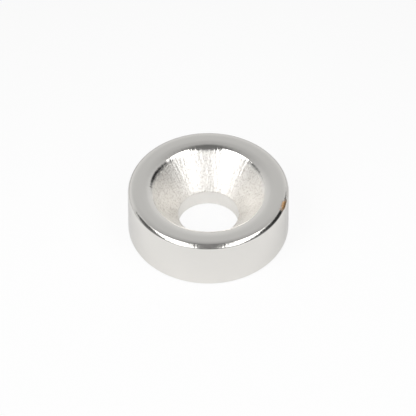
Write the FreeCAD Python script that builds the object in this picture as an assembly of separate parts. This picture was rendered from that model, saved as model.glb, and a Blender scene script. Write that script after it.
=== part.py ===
# Ring magnet with a countersunk screw hole: one sintered neodymium ring, plated all over with nickel.
# Millimetres. The origin is the centre of the flat bottom face, and +Z runs up the axis to the countersunk face.
import FreeCAD, Part
import math
import os

# The ring
outer_diameter = 12.0
thickness = 4.15

# The screw hole: a plain bore below, and a cone for a flat screw head above
bore_diameter = 4.5
countersink_diameter = 8.8
countersink_angle = 76.0

# Edges rounded by tumbling before the ring was plated. An edge is one or more arcs that run into each other,
# each with its share of the corner's turn and its radius. They are listed in the section's own order: out
# along the bottom face, up the side, in over the top face, down the cone and down the bore.
outer_bottom_edge = ((1.0, 0.3),)
outer_top_edge = ((0.5, 0.36), (0.39, 0.54), (0.11, 1.07))
countersink_rim = ((0.19, 1.9), (0.29, 1.27), (0.52, 0.65))
bore_top_edge = ((1.0, 0.2),)
bore_bottom_edge = ((1.0, 0.25),)

# A rounding takes at most this share of the wall on either side of its corner
wall_share = 0.48


def hole_and_ring_corners():
    """The sharp corners of half the section, as (radius, height, edge), in order round the solid."""
    outer_radius = outer_diameter / 2
    bore_radius = bore_diameter / 2
    rim_radius = countersink_diameter / 2
    cone_depth = (rim_radius - bore_radius) / math.tan(math.radians(countersink_angle / 2))
    bore_length = thickness - cone_depth
    return [
        (bore_radius, 0.0, bore_bottom_edge),
        (outer_radius, 0.0, outer_bottom_edge),
        (outer_radius, thickness, outer_top_edge),
        (rim_radius, thickness, countersink_rim),
        (bore_radius, bore_length, bore_top_edge),
    ]


def direction(heading):
    """The unit step in the section's plane for a heading, which is 0 outwards and a quarter turn upwards."""
    return FreeCAD.Vector(math.cos(heading), 0, math.sin(heading))


def arc_step(start_heading, end_heading, radius):
    """The step from one point of an arc to another, where the path's headings there are known."""
    across = math.sin(end_heading) - math.sin(start_heading)
    up = math.cos(start_heading) - math.cos(end_heading)
    return FreeCAD.Vector(across, 0, up) * radius


def rounded_corner(before, corner, after, edge):
    """Points of the arcs that round a corner: the start, then each arc's middle and end.

    The whole edge shrinks where its two walls are too short for it.
    """
    wall_in = corner - before
    wall_out = after - corner
    start_heading = math.atan2(wall_in.z, wall_in.x)
    turn = (math.atan2(wall_out.z, wall_out.x) - start_heading) % math.tau
    points = [FreeCAD.Vector(0, 0, 0)]
    heading = start_heading
    for share, radius in edge:
        for half in ("middle", "end"):
            next_heading = heading + turn * share / 2
            points.append(points[-1] + arc_step(heading, next_heading, radius))
            heading = next_heading
    way_in = direction(start_heading)
    way_out = direction(start_heading + turn)
    whole = points[-1]
    setback_in = (whole.x * way_out.z - whole.z * way_out.x) / math.sin(turn)
    setback_out = (way_in.x * whole.z - way_in.z * whole.x) / math.sin(turn)
    room_in = wall_share * wall_in.Length / setback_in
    room_out = wall_share * wall_out.Length / setback_out
    size = min(1.0, room_in, room_out)
    start = corner - way_in * (setback_in * size)
    return [start + point * size for point in points]


def half_section():
    """A closed wire round half the ring's section: arcs at every corner and straight walls between."""
    corners = hole_and_ring_corners()
    places = [FreeCAD.Vector(radius, 0, height) for radius, height, edge in corners]
    rounded = []
    for index, corner in enumerate(corners):
        after = places[(index + 1) % len(places)]
        rounded.append(rounded_corner(places[index - 1], places[index], after, corner[2]))
    edges = []
    for index, points in enumerate(rounded):
        for start in range(0, len(points) - 1, 2):
            edges.append(Part.Arc(*points[start:start + 3]).toShape())
        next_start = rounded[(index + 1) % len(rounded)][0]
        edges.append(Part.LineSegment(points[-1], next_start).toShape())
    return Part.Wire(edges)


def ring_magnet():
    """The whole ring, as its half section turned once round the axis."""
    section = Part.Face(half_section())
    axis = FreeCAD.Vector(0, 0, 1)
    return section.revolve(FreeCAD.Vector(0, 0, 0), axis, 360)


os.makedirs("parts", exist_ok=True)
magnet = ring_magnet()
if magnet.Volume < 0:
    magnet.reverse()
magnet.exportStep("parts/ring_magnet.step")
print("ring_magnet", magnet.ShapeType, "valid", magnet.isValid(), "volume", round(magnet.Volume, 3), "mm3")
print("box", magnet.BoundBox)
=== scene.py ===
import math

import bpy
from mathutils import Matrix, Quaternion, Vector


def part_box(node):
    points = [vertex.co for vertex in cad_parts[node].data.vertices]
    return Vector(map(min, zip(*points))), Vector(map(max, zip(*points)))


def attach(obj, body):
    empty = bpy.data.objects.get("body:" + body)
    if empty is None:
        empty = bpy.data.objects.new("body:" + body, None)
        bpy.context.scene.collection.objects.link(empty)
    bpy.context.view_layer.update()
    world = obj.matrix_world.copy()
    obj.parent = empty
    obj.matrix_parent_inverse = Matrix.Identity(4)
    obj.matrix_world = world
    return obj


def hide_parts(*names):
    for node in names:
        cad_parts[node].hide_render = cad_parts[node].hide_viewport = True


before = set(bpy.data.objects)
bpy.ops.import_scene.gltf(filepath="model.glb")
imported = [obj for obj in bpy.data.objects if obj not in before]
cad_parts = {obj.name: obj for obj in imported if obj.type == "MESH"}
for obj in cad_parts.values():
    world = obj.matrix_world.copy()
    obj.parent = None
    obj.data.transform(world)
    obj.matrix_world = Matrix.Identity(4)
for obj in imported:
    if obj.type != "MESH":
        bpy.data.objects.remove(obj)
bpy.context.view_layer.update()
mm = 0.001

# The ring itself: pressed and sintered neodymium powder, ground flat on both faces, drilled and countersunk
# for a flat screw head, then tumbled with abrasive stones. Tumbling rounds every edge and lets the top face
# fall away gently beside them. Half of the section is drawn with its arcs and spun once round the axis.
lowest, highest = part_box("ring_magnet")
outer_radius = (highest.x - lowest.x) / 2
thickness = highest.z - lowest.z
bore_radius = 2.25 * mm
countersink_radius = 4.4 * mm
cone_half_angle = math.radians(38)
bore_length = thickness - (countersink_radius - bore_radius) / math.tan(cone_half_angle)
steps_round_the_ring = 360
degrees_per_step = 3
merge_distance = 0.001 * mm

# An edge is one or more arcs that run into each other, each with its share of the corner's turn and its
# radius. They are listed in the section's own order: out along the bottom face, up the side, in over the top
# face, down the cone and down the bore.
bore_bottom_edge = ((1.0, 0.25 * mm),)
outer_bottom_edge = ((1.0, 0.3 * mm),)
outer_top_edge = ((0.5, 0.36 * mm), (0.39, 0.54 * mm), (0.11, 1.07 * mm))
countersink_rim = ((0.19, 1.9 * mm), (0.29, 1.27 * mm), (0.52, 0.65 * mm))
bore_top_edge = ((1.0, 0.2 * mm),)
section_corners = (
    (bore_radius, 0.0, bore_bottom_edge),
    (outer_radius, 0.0, outer_bottom_edge),
    (outer_radius, thickness, outer_top_edge),
    (countersink_radius, thickness, countersink_rim),
    (bore_radius, bore_length, bore_top_edge),
)


def direction(heading):
    """The unit step in the section's plane for a heading, which is 0 outwards and a quarter turn upwards."""
    return Vector((math.cos(heading), math.sin(heading)))


def rounded_section(corners):
    """Points round the closed section, as (radius, height), with every corner turned into its arcs."""
    points = []
    for index, (radius, height, edge) in enumerate(corners):
        corner = Vector((radius, height))
        wall_in = corner - Vector(corners[index - 1][:2])
        wall_out = Vector(corners[(index + 1) % len(corners)][:2]) - corner
        heading = math.atan2(wall_in.y, wall_in.x)
        turn = (math.atan2(wall_out.y, wall_out.x) - heading) % math.tau
        way_in = direction(heading)
        way_out = direction(heading + turn)
        arc = [Vector((0, 0))]
        for share, arc_radius in edge:
            steps = max(2, round(math.degrees(turn * share) / degrees_per_step))
            for step in range(steps):
                middle = heading + turn * share / steps / 2
                chord = 2 * arc_radius * math.sin(turn * share / steps / 2)
                arc.append(arc[-1] + direction(middle) * chord)
                heading += turn * share / steps
        setback = arc[-1].cross(way_out) / way_in.cross(way_out)
        points += [corner - way_in * setback + point for point in arc]
    return points


bpy.ops.object.select_all(action="DESELECT")
section = rounded_section(section_corners)
bpy.ops.mesh.primitive_circle_add(vertices=len(section), radius=outer_radius)
magnet = bpy.context.object
magnet.name = "ring_magnet_plated"
for vertex, point in zip(magnet.data.vertices, section):
    vertex.co = (point.x, 0, point.y)
bpy.ops.object.mode_set(mode="EDIT")
bpy.ops.mesh.select_all(action="SELECT")
bpy.ops.mesh.spin(steps=steps_round_the_ring, angle=math.tau, center=(0, 0, 0), axis=(0, 0, 1))
bpy.ops.mesh.select_all(action="SELECT")
bpy.ops.mesh.remove_doubles(threshold=merge_distance)
bpy.ops.mesh.normals_make_consistent(inside=False)
bpy.ops.object.mode_set(mode="OBJECT")
bpy.ops.object.shade_smooth()
bpy.ops.object.modifier_add(type="WEIGHTED_NORMAL")
bpy.ops.object.modifier_apply(modifier=magnet.modifiers[0].name)

# Bright nickel plate: electroplated all over the tumbled magnet. It mirrors the studio on the polished edges
# and the side, looks satin on the ground faces, and glints over the torn grain of the drilled cone. Hair
# scratches run up and over the outer edge, and draw what it mirrors out round the ring.
nickel_colour = "#E8E6E2"
# The hole's nickel is painted paler than the rest of the plate: painted light, which brightens what the cone
# mirrors from wall to wall.
painted_bright_cone_colour = "#F8F6F2"
pit_colour = "#DAD6D1"
copper_colour = "#BE9870"
face_roughness = 0.26
edge_roughness = 0.11
edge_brushing = 1.0
cone_roughness = 0.44
bore_roughness = 0.30
worn_roughness = 0.45
edge_on_tint = (0.93, 0.93, 0.93, 1.0)

# Real grain and streaks are a few hundredths of a millimetre wide. They are drawn several times as coarse,
# so that they show.
cone_grain = 0.13 * mm
streak_width = 0.15 * mm
streak_length = 0.9 * mm
relief_depth = 0.038 * mm
streaks_in_cone = 1.0
grain_in_cone = 0.6
streaks_on_edges = 0.4
cone_middle_radius = 3.3 * mm
noise_detail = 2.0


def linear(colour):
    """Linear red, green, blue and alpha of an sRGB hex colour."""
    parts = [int(colour[place:place + 2], 16) / 255 for place in (1, 3, 5)]
    return [part / 12.92 if part <= 0.04045 else ((part + 0.055) / 1.055) ** 2.4 for part in parts] + [1.0]


def add_node(tree, kind, settings=None, inputs=None):
    """A shader node with its settings, and its inputs set to values or linked from sockets."""
    made = tree.nodes.new(kind)
    for name, value in (settings or {}).items():
        setattr(made, name, value)
    for name, value in (inputs or {}).items():
        if isinstance(value, bpy.types.NodeSocket):
            tree.links.new(value, made.inputs[name])
        else:
            made.inputs[name].default_value = value
    return made


nickel = bpy.data.materials.new("bright_nickel_plate")
nickel.use_nodes = True
tree = nickel.node_tree
shader = tree.nodes["Principled BSDF"]
shader.inputs["Metallic"].default_value = 1.0

# Nickel mirrors a little less than all the light even where it is seen edge on
shader.inputs["Specular Tint"].default_value = edge_on_tint

place = add_node(tree, "ShaderNodeTexCoord").outputs["Object"]
height = add_node(tree, "ShaderNodeSeparateXYZ", inputs={0: place}).outputs["Z"]
level = add_node(tree, "ShaderNodeVectorMath", {"operation": "MULTIPLY"},
                 {0: place, 1: (1, 1, 0)}).outputs[0]
radius = add_node(tree, "ShaderNodeVectorMath", {"operation": "LENGTH"}, {0: level}).outputs["Value"]
outward = add_node(tree, "ShaderNodeVectorMath", {"operation": "NORMALIZE"}, {0: level}).outputs[0]

# Where a point lies: in the countersink or the bore, above the bore, on the cone, on the ground top face, or
# on the outer edge. Each runs softly from 0 to 1 between two radii or two heights.
hole_radii = (4.35 * mm, 4.05 * mm)
bore_top_heights = (1.3 * mm, 1.45 * mm)
face_heights = (thickness - 0.06 * mm, thickness - 0.01 * mm)
outer_edge_radii = (5.2 * mm, 5.4 * mm)
in_hole = add_node(tree, "ShaderNodeMapRange", {"interpolation_type": "SMOOTHSTEP"},
                   {"Value": radius, "From Min": hole_radii[0], "From Max": hole_radii[1]}).outputs[0]
above_bore = add_node(tree, "ShaderNodeMapRange", {"interpolation_type": "SMOOTHSTEP"},
                      {"Value": height, "From Min": bore_top_heights[0],
                       "From Max": bore_top_heights[1]}).outputs[0]
on_cone = add_node(tree, "ShaderNodeMath", {"operation": "MULTIPLY"},
                   {0: in_hole, 1: above_bore}).outputs[0]
on_face = add_node(tree, "ShaderNodeMapRange", {"interpolation_type": "SMOOTHSTEP"},
                   {"Value": height, "From Min": face_heights[0], "From Max": face_heights[1]}).outputs[0]
on_outer_edge = add_node(tree, "ShaderNodeMapRange", {"interpolation_type": "SMOOTHSTEP"},
                         {"Value": radius, "From Min": outer_edge_radii[0],
                          "From Max": outer_edge_radii[1]}).outputs[0]

# Satin on the face, bright on the edges and the side, and rougher on the cone than in the bore
rough_edge = add_node(tree, "ShaderNodeMix", {"data_type": "FLOAT"},
                      {0: on_face, 2: edge_roughness, 3: face_roughness}).outputs[0]
rough_hole = add_node(tree, "ShaderNodeMix", {"data_type": "FLOAT"},
                      {0: above_bore, 2: bore_roughness, 3: cone_roughness}).outputs[0]
roughness = add_node(tree, "ShaderNodeMix", {"data_type": "FLOAT"},
                     {0: in_hole, 2: rough_edge, 3: rough_hole}).outputs[0]

# Hair scratches over the outer edge and the side, and none on the face. They blur what is mirrored there
# round the ring.
brushed_edge = add_node(tree, "ShaderNodeMix", {"data_type": "FLOAT"},
                        {0: on_face, 2: edge_brushing, 3: 0.0}).outputs[0]
brushed = add_node(tree, "ShaderNodeMath", {"operation": "MULTIPLY"},
                   {0: brushed_edge, 1: on_outer_edge}).outputs[0]
round_the_ring = add_node(tree, "ShaderNodeVectorMath", {"operation": "CROSS_PRODUCT"},
                          {0: (0, 0, 1), 1: outward}).outputs[0]
tree.links.new(brushed, shader.inputs["Anisotropic"])
tree.links.new(round_the_ring, shader.inputs["Tangent"])

# Relief: streaks over the edges and down the cone, deepest in the cone, with torn grain between them there.
# The streaks are a noise on the direction from the axis, streak_width wide at the middle of the cone.
turned = add_node(tree, "ShaderNodeVectorMath", {"operation": "SCALE"},
                  {0: outward, "Scale": cone_middle_radius / streak_width}).outputs[0]
lift = add_node(tree, "ShaderNodeMath", {"operation": "MULTIPLY"},
                {0: height, 1: 1 / streak_length}).outputs[0]
down = add_node(tree, "ShaderNodeCombineXYZ", inputs={"Z": lift}).outputs[0]
along = add_node(tree, "ShaderNodeVectorMath", {"operation": "ADD"}, {0: turned, 1: down}).outputs[0]
streaks = add_node(tree, "ShaderNodeTexNoise",
                   inputs={"Vector": along, "Scale": 1.0, "Detail": noise_detail}).outputs[0]
torn = add_node(tree, "ShaderNodeTexNoise",
                inputs={"Vector": place, "Scale": 1 / cone_grain, "Detail": noise_detail}).outputs[0]
edge_depth = add_node(tree, "ShaderNodeMix", {"data_type": "FLOAT"},
                      {0: on_face, 2: streaks_on_edges, 3: 0.0}).outputs[0]
streak_depth = add_node(tree, "ShaderNodeMix", {"data_type": "FLOAT"},
                        {0: on_cone, 2: edge_depth, 3: streaks_in_cone}).outputs[0]
streak_relief = add_node(tree, "ShaderNodeMath", {"operation": "MULTIPLY"},
                         {0: streaks, 1: streak_depth}).outputs[0]
grain_depth = add_node(tree, "ShaderNodeMath", {"operation": "MULTIPLY"},
                       {0: on_cone, 1: grain_in_cone}).outputs[0]
relief = add_node(tree, "ShaderNodeMath", {"operation": "MULTIPLY_ADD"},
                  {0: torn, 1: grain_depth, 2: streak_relief}).outputs[0]
bump = add_node(tree, "ShaderNodeBump", inputs={"Height": relief, "Distance": relief_depth})
tree.links.new(bump.outputs[0], shader.inputs["Normal"])

# Greyer pits in the torn grain of the cone, where its noise is high
pit_noise = (0.42, 0.72)
in_pit = add_node(tree, "ShaderNodeMapRange", {"interpolation_type": "SMOOTHSTEP"},
                  {"Value": torn, "From Min": pit_noise[0], "From Max": pit_noise[1]}).outputs[0]
pitted = add_node(tree, "ShaderNodeMath", {"operation": "MULTIPLY"}, {0: in_pit, 1: on_cone}).outputs[0]
# Painted light: the countersink and the bore take the paler painted colour, with the greyer pits in the
# cone.
hole = add_node(tree, "ShaderNodeMix", {"data_type": "RGBA"},
                {0: pitted, 6: linear(painted_bright_cone_colour), 7: linear(pit_colour)}).outputs[2]
plate = add_node(tree, "ShaderNodeMix", {"data_type": "RGBA"},
                 {0: in_hole, 6: linear(nickel_colour), 7: hole}).outputs[2]

# The worn spot: on the outer edge the nickel is rubbed through to the copper under it. Its reach goes
# outwards, along the edge and upwards. It fades over the outer half of that, and a noise makes it ragged.
spot_turn = math.radians(-16)
spot_radius = 5.87 * mm
spot_depth = 0.07 * mm
spot_reach = (0.28 * mm, 0.80 * mm, 0.28 * mm)
spot_fade = (1.0, 0.5)
spot_fray = 0.25 * mm
mean_noise = (0.5, 0.5, 0.5)
spot_centre = (spot_radius * math.cos(spot_turn), spot_radius * math.sin(spot_turn), thickness - spot_depth)
in_spot = add_node(tree, "ShaderNodeMapping", {"vector_type": "TEXTURE"},
                   {"Vector": place, "Location": spot_centre, "Rotation": (0, 0, spot_turn),
                    "Scale": spot_reach}).outputs[0]
spot_edge = add_node(tree, "ShaderNodeTexNoise",
                     inputs={"Vector": place, "Scale": 1 / spot_fray}).outputs["Color"]
spot_shape = add_node(tree, "ShaderNodeVectorMath", {"operation": "ADD"},
                      {0: in_spot, 1: spot_edge}).outputs[0]
from_spot_centre = add_node(tree, "ShaderNodeVectorMath", {"operation": "DISTANCE"},
                            {0: spot_shape, 1: mean_noise}).outputs["Value"]
worn = add_node(tree, "ShaderNodeMapRange", {"interpolation_type": "SMOOTHSTEP"},
                {"Value": from_spot_centre, "From Min": spot_fade[0], "From Max": spot_fade[1]}).outputs[0]
rubbed = add_node(tree, "ShaderNodeMix", {"data_type": "FLOAT"},
                  {0: worn, 2: roughness, 3: worn_roughness}).outputs[0]
tree.links.new(rubbed, shader.inputs["Roughness"])
colour = add_node(tree, "ShaderNodeMix", {"data_type": "RGBA"},
                  {0: worn, 6: plate, 7: linear(copper_colour)}).outputs[2]
tree.links.new(colour, shader.inputs["Base Color"])
magnet.data.materials.append(nickel)

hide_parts("ring_magnet")
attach(magnet, "root")

# Table top: plain white card, a hair below the magnet so that the two faces don't flicker. Its colour is
# painted with a pool of light: palest just in front of the magnet, where the softboxes light it most, and
# greyer further out. A share of it is even white, to the camera and in the metal, and the rest is paper
# that takes the magnet's faint shadow.
table_size = 3.0
table_height = -0.01 * mm
# Painted light: the centre and reach of the pool of light painted on the card, and its lit and dim colours
painted_light_centre = (0, -12 * mm, 0)
painted_light_distances = (11 * mm, 65 * mm)
painted_lit_card = "#F4F4F4"
painted_dim_card = "#808080"
even_white = "#FFFFFF"
white_to_camera = 0.9
white_in_metal = 0.25
bpy.ops.object.select_all(action="DESELECT")
bpy.ops.mesh.primitive_plane_add(size=table_size, location=(0, 0, table_height))
table = bpy.context.object
table.name = "white_table"
card = bpy.data.materials.new("white_card")
card.use_nodes = True
tree = card.node_tree
path = add_node(tree, "ShaderNodeLightPath")
glow = add_node(tree, "ShaderNodeEmission", inputs={"Color": linear(even_white), "Strength": 1.0})
# The painted pool of light: the card's colour runs from the lit colour near its centre to the dim one
# further out
on_card = add_node(tree, "ShaderNodeTexCoord").outputs["Object"]
from_painted_light_centre = add_node(tree, "ShaderNodeVectorMath", {"operation": "DISTANCE"},
                            {0: on_card, 1: painted_light_centre}).outputs["Value"]
painted_light_falloff = add_node(tree, "ShaderNodeMapRange", {"interpolation_type": "SMOOTHSTEP"},
               {"Value": from_painted_light_centre, "From Min": painted_light_distances[0],
                "From Max": painted_light_distances[1]}).outputs[0]
painted_light_on_card = add_node(tree, "ShaderNodeMix", {"data_type": "RGBA"},
                 {0: painted_light_falloff, 6: linear(painted_lit_card), 7: linear(painted_dim_card)}).outputs[2]
paper = add_node(tree, "ShaderNodeBsdfDiffuse", inputs={"Color": painted_light_on_card})
to_camera = add_node(tree, "ShaderNodeMath", {"operation": "MULTIPLY"},
                     {0: path.outputs["Is Camera Ray"], 1: white_to_camera})
in_metal = add_node(tree, "ShaderNodeMath", {"operation": "MULTIPLY"},
                    {0: path.outputs["Is Glossy Ray"], 1: white_in_metal})
share = add_node(tree, "ShaderNodeMath", {"operation": "MAXIMUM"},
                 {0: to_camera.outputs[0], 1: in_metal.outputs[0]})
both = add_node(tree, "ShaderNodeMixShader",
                inputs={0: share.outputs[0], 1: paper.outputs[0], 2: glow.outputs[0]})
tree.links.new(both.outputs[0], tree.nodes["Material Output"].inputs["Surface"])
table.data.materials.append(card)


# Studio light: two large softboxes lean over the table in front, with a dark slot between them for the
# camera. They give the white bands on the rounded edges, and the slot gives the dark gaps between the bands.
# An area lamp takes this many watts for each square metre and each unit of radiance.
watts_per_square_metre = 4


def studio_direction(azimuth, elevation):
    """The unit step from the magnet for angles in degrees. Azimuth 0 is to the camera, 90 to the right."""
    turn = math.radians(azimuth)
    rise = math.radians(elevation)
    return Vector((math.sin(turn) * math.cos(rise), -math.cos(turn) * math.cos(rise), math.sin(rise)))


def softbox(name, azimuth, elevation, roll, width, height, distance, radiance):
    """Hangs an area lamp that faces the magnet, with angles in degrees and sizes in metres.

    A radiance of 1 renders as plain white.
    """
    lamp = bpy.data.lights.new(name, "AREA")
    lamp.shape = "RECTANGLE"
    lamp.size = width
    lamp.size_y = height
    lamp.energy = watts_per_square_metre * width * height * radiance
    holder = bpy.data.objects.new(name, lamp)
    bpy.context.scene.collection.objects.link(holder)
    way = studio_direction(azimuth, elevation)
    holder.location = way * distance
    aimed = way.to_track_quat("Z", "Y") @ Quaternion((0, 0, 1), math.radians(roll))
    holder.rotation_euler = aimed.to_euler()
    holder.visible_camera = False


softbox("left_softbox", azimuth=-44.5, elevation=37.5, roll=30, width=0.58, height=1.40, distance=1.0,
        radiance=2.35)
softbox("right_softbox", azimuth=46.5, elevation=43, roll=-36.5, width=0.45, height=1.36, distance=1.0,
        radiance=2.35)

# The room: a grey wall and ceiling behind the table, darkest overhead, and the dark room in front of it
# beyond the softboxes. Black cards hang at both sides and give the ends of the bands their dark arcs. The
# camera sees plain white instead of all this.
front_grey = 0.18

# The wall fades in as the direction turns backwards, up to a backward part of wall_fade. Each of its greys
# is for an upward part of the direction, where 0 is level and 1 is overhead.
wall_fade = 0.12
wall_stops = ((0.0, 0.80), (0.5, 0.73), (0.72, 0.61), (0.88, 0.48), (0.94, 0.42), (0.98, 0.26), (1.0, 0.13))

# Each black card's azimuth, elevation and reach in degrees, and its grey. It is plain out to solid_reach and
# fades from there to its own reach.
black_cards = ((-93, 32, 20, 0.06), (92, 31, 24, 0.02), (115, 27, 22, 0.01), (99, 10, 15, 0.04))
solid_reach = 10

world = bpy.data.worlds.new("studio")
bpy.context.scene.world = world
world.use_nodes = True
tree = world.node_tree
way = add_node(tree, "ShaderNodeTexCoord").outputs["Generated"]
way_parts = add_node(tree, "ShaderNodeSeparateXYZ", inputs={0: way}).outputs

# A new colour ramp already has two stops
wall = add_node(tree, "ShaderNodeValToRGB", inputs={0: way_parts["Z"]})
for index, (stop, grey) in enumerate(wall_stops):
    element = wall.color_ramp.elements[index] if index < 2 else wall.color_ramp.elements.new(stop)
    element.position = stop
    element.color = (grey, grey, grey, 1.0)

behind = add_node(tree, "ShaderNodeMapRange", {"interpolation_type": "SMOOTHSTEP"},
                  {"Value": way_parts["Y"], "From Min": 0.0, "From Max": wall_fade}).outputs[0]
room = add_node(tree, "ShaderNodeMix", {"data_type": "RGBA"},
                {0: behind, 6: (front_grey, front_grey, front_grey, 1.0), 7: wall.outputs[0]}).outputs[2]
for azimuth, elevation, reach, grey in black_cards:
    near = add_node(tree, "ShaderNodeVectorMath", {"operation": "DOT_PRODUCT"},
                    {0: way, 1: studio_direction(azimuth, elevation)}).outputs["Value"]
    dark = add_node(tree, "ShaderNodeMapRange", {"interpolation_type": "SMOOTHSTEP"},
                    {"Value": near, "From Min": math.cos(math.radians(reach)),
                     "From Max": math.cos(math.radians(solid_reach))})
    room = add_node(tree, "ShaderNodeMix", {"data_type": "RGBA"},
                    {0: dark.outputs[0], 6: room, 7: (grey, grey, grey, 1.0)}).outputs[2]

path = add_node(tree, "ShaderNodeLightPath")
grey_room = add_node(tree, "ShaderNodeBackground", inputs={"Color": room, "Strength": 1.0})
white = add_node(tree, "ShaderNodeBackground", inputs={"Color": linear(even_white), "Strength": 1.0})
both = add_node(tree, "ShaderNodeMixShader",
                inputs={0: path.outputs["Is Camera Ray"], 1: grey_room.outputs[0], 2: white.outputs[0]})
tree.links.new(both.outputs[0], tree.nodes["World Output"].inputs["Surface"])

# Camera: a long lens, because the photograph shows almost no perspective. The ring is as many pixels wide
# as in the photograph, and the point at aim_height on its axis falls on aim_pixel.
outer_diameter = 2 * outer_radius
camera_elevation = math.radians(46.5)
distance_in_diameters = 40
aim_height = 0.15 * outer_diameter
pixels_per_diameter = 160.49
picture_pixels = 416
aim_pixel = (207.89, 209.42)
pixel = outer_diameter / pixels_per_diameter

lens = bpy.data.cameras.new("camera")
camera = bpy.data.objects.new("camera", lens)
bpy.context.scene.collection.objects.link(camera)
back = Vector((0, -math.cos(camera_elevation), math.sin(camera_elevation)))
up = Vector((0, math.sin(camera_elevation), math.cos(camera_elevation)))
right = Vector((1, 0, 0))
half_picture = picture_pixels / 2 - 0.5
aim = Vector((0, 0, aim_height))
aim += right * (half_picture - aim_pixel[0]) * pixel
aim -= up * (half_picture - aim_pixel[1]) * pixel
camera.location = aim + back * distance_in_diameters * outer_diameter
camera.rotation_euler = back.to_track_quat("Z", "Y").to_euler()
lens.sensor_width = 36
lens.lens = lens.sensor_width * pixels_per_diameter * distance_in_diameters / picture_pixels
lens.clip_start = 0.01
lens.clip_end = 10
bpy.context.scene.camera = camera
bpy.context.scene.view_settings.view_transform = "Standard"
